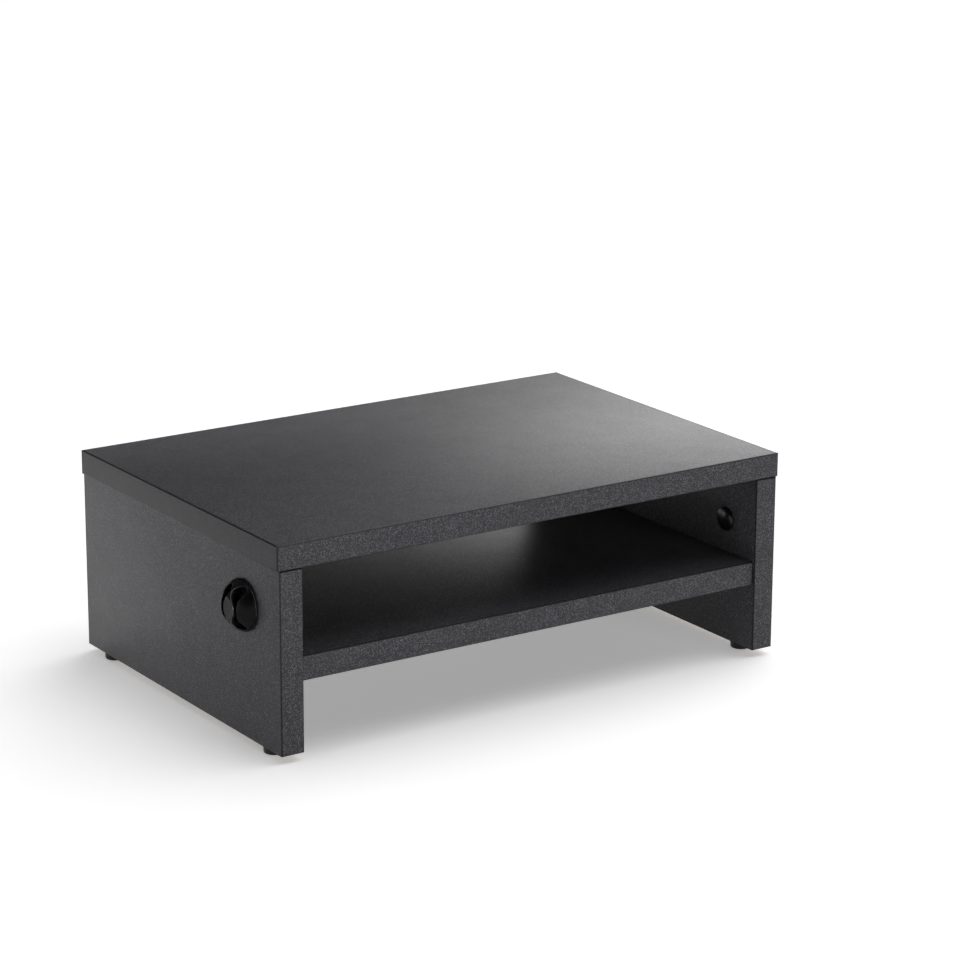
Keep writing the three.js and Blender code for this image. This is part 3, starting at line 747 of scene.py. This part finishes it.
# %% Drills
def fastener_drills():
    """Every bore in the boards, as one set of round bars."""
    bars = []
    for tag in CORNERS:
        for kind in ("panel", "shelf"):
            lock = "cam_lock_%s_%s" % (kind, tag)
            place, face_way = lock_place(lock)[:2]
            low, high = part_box(lock)
            drum = (high.y - low.y) + 2 * FIT
            depth = ((high.z - low.z) if kind == "shelf" else (high.x - low.x)) + FIT
            bars.append(rod(drum, place + face_way * MM, place - face_way * depth))
        for kind, axis in (("top", "Z"), ("shelf", "X")):
            for part in ("cam_bolt", "dowel"):
                node = "%s_%s_%s" % (part, kind, tag)
                start, end = middle_of(node), middle_of(node)
                first, last = span_of(node, axis)
                start[AXES[axis]], end[AXES[axis]] = first - FIT, last + FIT
                left_edge, right_edge = span_of(node, "Y")
                bars.append(rod(right_edge - left_edge + 2 * FIT, start, end, 32))
        nail = middle_of("glide_nail_" + tag)
        foot_top, nail_top = span_of("glide_foot_" + tag, "Z")[1], span_of("glide_nail_" + tag, "Z")[1]
        bars.append(rod(NAIL_BORE, (nail.x, nail.y, foot_top - MM), (nail.x, nail.y, nail_top + FIT), 16))
    return joined(*bars)


EASED = 0.25 * MM
for node in BOARDS:
    slab = softened(brick(*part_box(node)), EASED, segments=2)
    board = combined(slab, fastener_drills())
    piece = finished(node + "_faced", board, board_finish[node], node)
    print(piece.name, len(piece.data.polygons), "faces")

# %% [markdown]
# ## The edge bands
# Each band is a strip as long as the edge that it covers. After gluing, its long edges are trimmed
# flush and scraped to a small radius, so only the edges of its outer face are rounded.

# %% Bands
BAND_ROUND, SAME_LEVEL = 0.8 * MM, 0.001 * MM
WAYS = {"front": (0, -1, 0), "back": (0, 1, 0), "left": (-1, 0, 0), "right": (1, 0, 0)}
bands = {"top_band_" + side: way for side, way in WAYS.items()}
bands.update({"shelf_band_" + end: WAYS[end] for end in ENDS})
bands.update({"panel_band_%s_%s" % (end, side): WAYS[end] for end in ENDS for side in SIDES})


def band_piece(node, way):
    outward = Vector(way)
    strip = brick(*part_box(node))
    outer = max(v.co.dot(outward) for v in strip.verts)

    def on_outer_face(edge):
        return all(abs(v.co.dot(outward) - outer) < SAME_LEVEL for v in edge.verts)

    softened(strip, BAND_ROUND, segments=4, chosen=on_outer_face)
    finished(node + "_strip", strip, band_finish["X" if outward.x else "Y"], node)


for node, way in bands.items():
    band_piece(node, way)
print(len(bands), "bands")

# %% [markdown]
# ## Caps, feet and nails
# These are all round, so each is one outline spun about an axis. The cap is a low dome with a short
# stem that clicks into the cam lock's cross. The foot is a turned-looking moulding with a well
# rounded sole, and a pocket in the sole takes the head of its nail.

# %% Round pieces
def arc(centre, radius, first, last, steps):
    """Points on an arc, as (radius, height) pairs. Angles are in degrees, from the outward direction."""
    angles = [math.radians(first + (last - first) * i / steps) for i in range(steps + 1)]
    across, up_by = (radius, radius) if isinstance(radius, float) else radius
    return [(centre[0] + across * math.cos(a), centre[1] + up_by * math.sin(a)) for a in angles]


def cap_outline(radius, height, stem, depth):
    rim, soft = 0.5 * MM, 0.2 * MM
    outline = [(0, -depth), (stem - soft, -depth), (stem, soft - depth), (stem, 0), (radius - soft, 0)]
    outline += arc((radius - soft, soft), soft, -60, 0, 3)
    outline += arc((0, rim), (radius, height - rim), 4, 90, 18)
    return outline[:-1] + [(0, height)]


def foot_outline(sole, top, height, pocket, pocket_depth, hole):
    round_by, soft = 1.1 * MM, 0.25 * MM
    start = (pocket + soft, 0)
    outline = [start, (sole - round_by, 0)]
    outline += arc((sole - round_by, round_by), round_by, -75, 0, 8)
    outline += [(top - soft * 0.2, height - soft)] + arc((top - soft, height - soft), soft, 20, 90, 3)
    return outline + [(hole, height), (hole, pocket_depth), (pocket, pocket_depth), (pocket, soft), start]


def nail_outline(head, thickness, shank, length, point):
    soft = 0.2 * MM
    return [
        (0, 0), (head * 0.6, 0.02 * MM), (head - soft, 0.08 * MM), (head, 0.3 * MM), (head - soft, thickness),
        (shank + soft, thickness), (shank, thickness + soft), (shank, length - point), (0, length),
    ]


CAP_STEM, CAP_SEAT = 3.6 / 2 * MM, 0.1 * MM
NAIL_SHANK, NAIL_POINT, NAIL_HEAD_THICKNESS = 1.8 / 2 * MM, 2 * MM, 0.7 * MM
SOLE, POCKET, POCKET_DEPTH, NAIL_HOLE = 13.4 / 2 * MM, 5.8 / 2 * MM, 1.6 * MM, 1.2 * MM
for tag in CORNERS:
    node = "cam_cap_" + tag
    low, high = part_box(node)
    lock_face, inward, upward = lock_place("cam_lock_panel_" + tag)
    place = middle_of(node)
    place.x = lock_face.x + inward.x * CAP_SEAT
    height = abs((high.x if inward.x > 0 else low.x) - place.x)
    depth = (high.x - low.x) - height
    cap = spun(cap_outline((high.y - low.y) / 2, height, CAP_STEM, depth), 72)
    finished(node + "_dome", put(cap, inward, upward, place), cap_finish, node, sharp=50)

    node = "glide_foot_" + tag
    low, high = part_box(node)
    foot = spun(foot_outline(SOLE, (high.y - low.y) / 2, high.z - low.z, POCKET, POCKET_DEPTH, NAIL_HOLE), 72)
    middle = middle_of(node)
    put(foot, (0, 0, 1), (0, 1, 0), (middle.x, middle.y, low.z))
    finished(node + "_moulding", foot, foot_finish, node, sharp=50)

    node = "glide_nail_" + tag
    low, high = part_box(node)
    head = (high.y - low.y) / 2
    nail = spun(nail_outline(head, NAIL_HEAD_THICKNESS, NAIL_SHANK, high.z - low.z, NAIL_POINT), 40)
    put(nail, (0, 0, 1), (0, 1, 0), (middle.x, middle.y, low.z))
    finished(node + "_turned", nail, steel_finish, node, sharp=50)
print("caps, feet and nails:", 3 * len(CORNERS))

# %% [markdown]
# ## Cam locks
# A cam lock is a die-cast drum with a cross for the screwdriver and an arrow that shows where its
# mouth is. Inside, the wall of its bay runs in a spiral, so that turning the drum pulls the bolt's
# head inward. The drum is spun, and the cross, the arrow, the mouth and the bay are cut out of it.

# %% Cam lock
LOCK_CHAMFER, RECESS_SPAN, RECESS_SLOT, RECESS_DEPTH = (x * MM for x in (0.5, 9, 1.6, 2.8))
ARROW_LENGTH, ARROW_WIDTH, ARROW_DEPTH = (x * MM for x in (2.2, 2.4, 0.5))
BOLT_LEVEL, HEAD_PLACE, HEAD_ROOM, NECK_ROOM = (x * MM for x in (8, 3, 3.6, 2.3))
LIP_THIN, LIP_THICK, DRUM_SOFT = 0.9 * MM, 1.9 * MM, 0.15 * MM
BAY_START, BAY_END = math.radians(-150), math.radians(26.25)


def prism(points, low, high):
    """A flat outline pushed up between two heights."""
    shape = bmesh.new()
    base = shape.faces.new([shape.verts.new((x, y, low)) for x, y in points])
    grown = bmesh.ops.extrude_face_region(shape, geom=[base])["geom"]
    corners = [item for item in grown if isinstance(item, bmesh.types.BMVert)]
    bmesh.ops.translate(shape, vec=(0, 0, high - low), verts=corners)
    bmesh.ops.recalc_face_normals(shape, faces=shape.faces)
    return shape


def sector(first, last, first_radius, last_radius, steps=24):
    """A flat wedge between two angles from +Y, whose radius runs from the first to the last value."""
    points = [(0, 0)]
    for i in range(steps + 1):
        share = i / steps
        angle = first + (last - first) * share
        radius = first_radius + (last_radius - first_radius) * share
        points.append((-radius * math.sin(angle), radius * math.cos(angle)))
    return points


def cam_lock(radius, height):
    rim, soft_rim = radius - LOCK_CHAMFER, radius - DRUM_SOFT
    drum = spun([
        (0, -height), (rim, -height), (radius, LOCK_CHAMFER - height),
        (radius, -DRUM_SOFT), (soft_rim, 0), (0, 0),
    ], 72)
    roof = -BOLT_LEVEL + HEAD_ROOM
    beyond = radius + MM
    tools = [
        prism(sector(BAY_START, BAY_END, radius - LIP_THIN, radius - LIP_THICK), -height - MM, roof),
        prism(sector(BAY_START, BAY_END, beyond, beyond), -BOLT_LEVEL - NECK_ROOM, -BOLT_LEVEL + NECK_ROOM),
        brick((-RECESS_SPAN / 2, -RECESS_SLOT / 2, -RECESS_DEPTH), (RECESS_SPAN / 2, RECESS_SLOT / 2, MM)),
        brick((-RECESS_SLOT / 2, -RECESS_SPAN / 2, -RECESS_DEPTH), (RECESS_SLOT / 2, RECESS_SPAN / 2, MM)),
        rod(2 * (CAP_STEM + FIT), (0, 0, -RECESS_DEPTH), (0, 0, MM), 32),
    ]
    for angle in (BAY_START, BAY_END):
        x, y = -HEAD_PLACE * math.sin(angle), HEAD_PLACE * math.cos(angle)
        tools.append(rod(2 * HEAD_ROOM, (x, y, -height - MM), (x, y, roof)))
    entry = Vector((-math.sin(BAY_START), math.cos(BAY_START), 0))
    level = Vector((0, 0, -BOLT_LEVEL))
    tools.append(rod(2 * HEAD_ROOM, level + entry * beyond, level + entry * HEAD_PLACE))
    arrow = [(0, rim), (-ARROW_WIDTH / 2, rim - ARROW_LENGTH), (ARROW_WIDTH / 2, rim - ARROW_LENGTH)]
    turned_arrow = [
        (x * math.cos(BAY_START) - y * math.sin(BAY_START), x * math.sin(BAY_START) + y * math.cos(BAY_START))
        for x, y in arrow
    ]
    tools.append(prism(turned_arrow, -ARROW_DEPTH, MM))
    return combined(drum, joined(*tools))


low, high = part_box("cam_lock_panel_front_left")
lock = cam_lock((high.y - low.y) / 2, high.x - low.x)
for tag in CORNERS:
    for kind in ("panel", "shelf"):
        node = "cam_lock_%s_%s" % (kind, tag)
        place, face_way, bolt_way = lock_place(node)
        finished(node + "_cast", put(lock.copy(), face_way, bolt_way, place), zinc_finish, node)
print("a cam lock has", len(lock.faces), "faces")
lock.free()

# %% [markdown]
# ## Connecting bolts
# The bolt is turned steel: a cone-shaped head that the cam grips, a thin neck, a sleeve, a collar
# that stops it at the surface, and a coarse chipboard thread. The plain body is spun. The thread is a
# triangle spun about the same axis, with a rise at each step, and joined to the core.

# %% Bolt
SCREW_LENGTH, SCREW_TIP, HEAD_HALF, NECK_LENGTH, BOLT_SOFT = (x * MM for x in (11, 1.6, 2.2, 6.5, 0.15))
COLLAR_LOW, COLLAR_HIGH = 0.1 * MM, 1.4 * MM


def bolt_body(head_middle):
    soft = BOLT_SOFT
    head, neck, sleeve, collar, core = (d / 2 * MM for d in (6.6, 4, 6.4, 7.4, 4.2))
    head_start, head_end = head_middle - HEAD_HALF, head_middle + HEAD_HALF
    neck_start = head_start - NECK_LENGTH
    return spun([
        (0, -SCREW_LENGTH), (core * 0.5, -SCREW_LENGTH), (core, SCREW_TIP - SCREW_LENGTH), (core, COLLAR_LOW),
        (collar - soft, COLLAR_LOW), (collar, COLLAR_LOW + soft), (collar, COLLAR_HIGH - soft),
        (collar - soft, COLLAR_HIGH), (sleeve, COLLAR_HIGH), (sleeve, neck_start - 2 * soft),
        (sleeve - 2 * soft, neck_start), (neck, neck_start), (neck, head_start),
        (head - soft, head_middle - soft), (head, head_middle), (head, head_middle + 1.1 * MM),
        (head * 0.95, head_middle + 1.4 * MM), (head * 0.5, head_end), (0, head_end),
    ], 56)


def helix(inner, outer, width, rise, start, turns, steps=36):
    """A triangular ridge that winds about the Z axis."""
    shape = bmesh.new()
    corners = [
        shape.verts.new((inner, 0, start - width / 2)),
        shape.verts.new((outer, 0, start)),
        shape.verts.new((inner, 0, start + width / 2)),
    ]
    face = shape.faces.new(corners)
    bmesh.ops.spin(
        shape, geom=[face] + list(face.edges) + corners, cent=(0, 0, 0), axis=(0, 0, 1),
        dvec=(0, 0, rise / steps), angle=2 * math.pi * turns, steps=int(steps * turns),
        use_merge=False, use_normal_flip=False, use_duplicate=False,
    )
    bmesh.ops.recalc_face_normals(shape, faces=shape.faces)
    return shape


low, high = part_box("cam_bolt_top_front_left")
bolt_head_middle = (high.z - low.z) - SCREW_LENGTH - HEAD_HALF
thread = helix(inner=1.9 * MM, outer=3 * MM, width=1.5 * MM, rise=2.1 * MM, start=-9.6 * MM, turns=4.2)
bolt = combined(bolt_body(bolt_head_middle), thread, "UNION")
for tag, side_sign in CORNERS.items():
    node = "cam_bolt_top_" + tag
    place = middle_of(node)
    place.z = span_of(node, "Z")[1] - SCREW_LENGTH
    piece = put(bolt.copy(), (0, 0, -1), (1, 0, 0), place)
    finished(node + "_turned", piece, steel_finish, node)

    node = "cam_bolt_shelf_" + tag
    place = middle_of(node)
    first, last = span_of(node, "X")
    place.x = last - SCREW_LENGTH if side_sign > 0 else first + SCREW_LENGTH
    piece = put(bolt.copy(), (-side_sign, 0, 0), (0, 1, 0), place)
    finished(node + "_turned", piece, steel_finish, node)
print("a bolt has", len(bolt.faces), "faces")
bolt.free()

# %% [markdown]
# ## Dowels
# A dowel is a beech stick with pressed flutes, which let the glue and the air out, and chamfered
# ends. It starts as a disc, which is drawn out and narrowed at both ends, and every point on its
# side then moves in by the depth of the flute at its angle.

# %% Dowel
def dowel(radius, length, chamfer, flutes, flute_depth):
    shape = bmesh.new()
    tip = radius - chamfer
    bmesh.ops.create_circle(shape, cap_ends=True, cap_tris=False, segments=flutes * 12, radius=tip)
    bmesh.ops.translate(shape, vec=(0, 0, -length / 2), verts=shape.verts)
    face = list(shape.faces)[0]
    for rise, factor in ((chamfer, radius / tip), (length - 2 * chamfer, 1), (chamfer, tip / radius)):
        grown = bmesh.ops.extrude_face_region(shape, geom=[face])["geom"]
        corners = [item for item in grown if isinstance(item, bmesh.types.BMVert)]
        bmesh.ops.translate(shape, vec=(0, 0, rise), verts=corners)
        bmesh.ops.scale(shape, vec=(factor, factor, 1), verts=corners)
        face = [item for item in grown if isinstance(item, bmesh.types.BMFace)][0]
    for vert in shape.verts:
        reach = math.hypot(vert.co.x, vert.co.y)
        if reach > radius - chamfer / 2:
            angle = math.atan2(vert.co.y, vert.co.x)
            groove = max(0.0, -math.cos(flutes * angle)) ** 2
            factor = (reach - flute_depth * groove) / reach
            vert.co.x, vert.co.y = vert.co.x * factor, vert.co.y * factor
    bmesh.ops.recalc_face_normals(shape, faces=shape.faces)
    return shape


for tag in CORNERS:
    for kind, axis, way in (("top", "Z", (0, 0, 1)), ("shelf", "X", (1, 0, 0))):
        node = "dowel_%s_%s" % (kind, tag)
        first, last = span_of(node, axis)
        stick = dowel(radius=4 * MM, length=last - first, chamfer=MM, flutes=8, flute_depth=0.35 * MM)
        put(stick, way, (0, 1, 0), middle_of(node))
        finished(node + "_fluted", stick, beech_finish[axis], node, sharp=50)
print("dowels:", 2 * len(CORNERS))

# %% [markdown]
# ## The cable clip
# The clip is one moulding of soft black plastic on a round foam pad. It is a dome with two channels
# side by side. A flat leaf between them reaches over both, so a cord has to be pressed in through the
# slit along its edge. At each end the leaf narrows to a neck, and beside the neck the channels open as
# round mouths, which the leaf's curve turns into tear shapes.
# The dome is spun. What is cut from it is put together first: a slot as wide as both slits and four
# mouths, less the leaf, and then the two bores below. A fine voxel remesh with a little smoothing
# rounds every edge at once, as a mould for soft plastic does.
#
# Cords rub the rims of the mouths, so these shine more than the rest, and their very edges are painted paler
# as a painted highlight. Both masks take what lies near the dome's own ball but doesn't face the way that
# the ball does there.

# %% Shiny rims and their painted highlight
# The pale grey painted on the rims' very edges is a painted highlight.
RIM_PAINTED_HIGHLIGHT, RIM_COAT_ROUGH = 0.09, 0.2


def rim_mask(tree, lean, reach, leans, reaches):
    """One near the ball's surface, beyond the second reach, where the shape leans away from the ball."""
    return maths(tree, "MULTIPLY", ranged(tree, lean, *leans, 1.0, 0.0), ranged(tree, reach, *reaches))


def shiny_rims_painted_highlight(finish, centre, ball):
    tree = finish.node_tree
    shader = [node for node in tree.nodes if node.type == "BSDF_PRINCIPLED"][0]
    out = vector_maths(tree, "SUBTRACT", object_place(tree), centre)[0]
    reach = vector_maths(tree, "LENGTH", out)["Value"]
    normal = new_node(tree, "ShaderNodeNewGeometry").outputs["Normal"]
    lean = vector_maths(tree, "DOT_PRODUCT", vector_maths(tree, "NORMALIZE", out)[0], normal)["Value"]
    shiny = rim_mask(tree, lean, reach, (0.7, 0.92), (ball - 1.9 * MM, ball - 1.2 * MM))
    # Painted highlight: the very edges of the rims are painted pale.
    edge = rim_mask(tree, lean, reach, (0.82, 0.98), (ball - 0.75 * MM, ball - 0.35 * MM))
    plain = shader.inputs["Base Color"].links[0].from_socket
    connect(tree, shader, coat_weight=shiny, base_color=mixed(tree, edge, plain, grey(RIM_PAINTED_HIGHLIGHT)))
    shader.inputs["Coat Roughness"].default_value = RIM_COAT_ROUGH


# %% Cable clip
CLIP_INSET, CLIP_VOXEL, PAD_SOFT = 0.02 * MM, 0.22 * MM, 0.12 * MM
CLIP_RIM, CARVE_SHIFT, CHANNEL_FLOOR, BORE = 0.5 * MM, 2.1 * MM, 1.5 * MM, 3.7 * MM
CHANNEL_SPREAD, HOLE, HOLE_RISE, SLIT_EDGE = 4.75 * MM, 4.15 * MM, 9.9 * MM, 7.6 * MM
LEAF_HALF, NECK_HALF, LEAF_TAPER, LEAF_REACH = 5.7 * MM, 0.55 * MM, 11.4 * MM, 15 * MM
LEAF_SINK = 1.6 * MM


def moulded_over(shape, voxel, passes):
    """The shape with its edges rounded, by a remesh into small cells and a few rounds of smoothing."""
    thing = as_object(shape, "rough_body")
    remesh = thing.modifiers.new("remesh", "REMESH")
    remesh.mode, remesh.voxel_size = "VOXEL", voxel
    smooth = thing.modifiers.new("smooth", "SMOOTH")
    smooth.factor, smooth.iterations = 0.5, passes
    result = bmesh.new()
    result.from_object(thing, bpy.context.evaluated_depsgraph_get())
    mesh = thing.data
    bpy.data.objects.remove(thing)
    bpy.data.meshes.remove(mesh)
    return result


def leaf_half(rise):
    """Half the leaf's width at a distance from its middle: a broad blade that ends in a thin neck."""
    share = min(abs(rise) / LEAF_TAPER, 1.0)
    return NECK_HALF + (LEAF_HALF - NECK_HALF) * math.cos(share * math.pi / 2) ** 1.8


def clip_ball(radius, height):
    """The radius of the ball that the dome is a slice of."""
    crown = height - CLIP_RIM
    return (radius ** 2 + crown ** 2) / (2 * crown)


def clip_shape(radius, height):
    ball = clip_ball(radius, height)
    low_angle = math.degrees(math.acos(radius / ball))
    dome = spun(
        [(0, 0), (radius, 0)] + arc((0, height - ball), ball, low_angle, 90, 40)[:-1] + [(0, height)], 128
    )
    far, level = 2 * height, CHANNEL_FLOOR + BORE
    rises = [LEAF_REACH * (i / 24 - 1) for i in range(49)]
    right_side = [(CARVE_SHIFT + leaf_half(rise), rise) for rise in rises]
    left_side = [(CARVE_SHIFT - leaf_half(rise), rise) for rise in reversed(rises)]
    leaf = prism(right_side + left_side, 0, far)
    above_leaf = prism(right_side + left_side, height - LEAF_SINK, far)
    hollow = brick((CARVE_SHIFT - SLIT_EDGE, -HOLE_RISE, level), (CARVE_SHIFT + SLIT_EDGE, HOLE_RISE, far))
    for x in (CARVE_SHIFT - CHANNEL_SPREAD, CARVE_SHIFT + CHANNEL_SPREAD):
        for y in (-HOLE_RISE, HOLE_RISE):
            hollow = combined(hollow, rod(2 * HOLE, (x, y, CHANNEL_FLOOR), (x, y, far), 64), "UNION")
    hollow = combined(hollow, leaf)
    for x in (CARVE_SHIFT - CHANNEL_SPREAD, CARVE_SHIFT + CHANNEL_SPREAD):
        hollow = combined(hollow, rod(2 * BORE, (x, -HOLE_RISE, level), (x, HOLE_RISE, level), 64), "UNION")
    return combined(combined(dome, above_leaf), hollow)


low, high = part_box("cable_clip")
radius, height = (high.y - low.y) / 2, high.x - low.x
place = middle_of("cable_clip")
place.x = high.x
clip = moulded_over(clip_shape(radius - CLIP_INSET, height - CLIP_INSET), CLIP_VOXEL, passes=3)
put(clip, (-1, 0, 0), (0, 0, 1), place)
piece = finished("cable_clip_moulding", clip, clip_finish, "cable_clip", sharp=80)
ball = clip_ball(radius, height)
shiny_rims_painted_highlight(clip_finish, place + Vector((ball - height, 0, 0)), ball)
print(piece.name, len(piece.data.polygons), "faces")

# %% Foam pad
low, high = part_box("cable_clip_pad")
start, end = middle_of("cable_clip_pad"), middle_of("cable_clip_pad")
start.x, end.x = low.x, high.x
pad = rod(high.y - low.y, start, end, 96)
softened(pad, PAD_SOFT, segments=2)
finished("cable_clip_foam", pad, foam_finish, "cable_clip_pad")
print("size of the pad in mm:", [round(x / MM, 1) for x in high - low])

# %% Bounds of the stand
low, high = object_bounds()
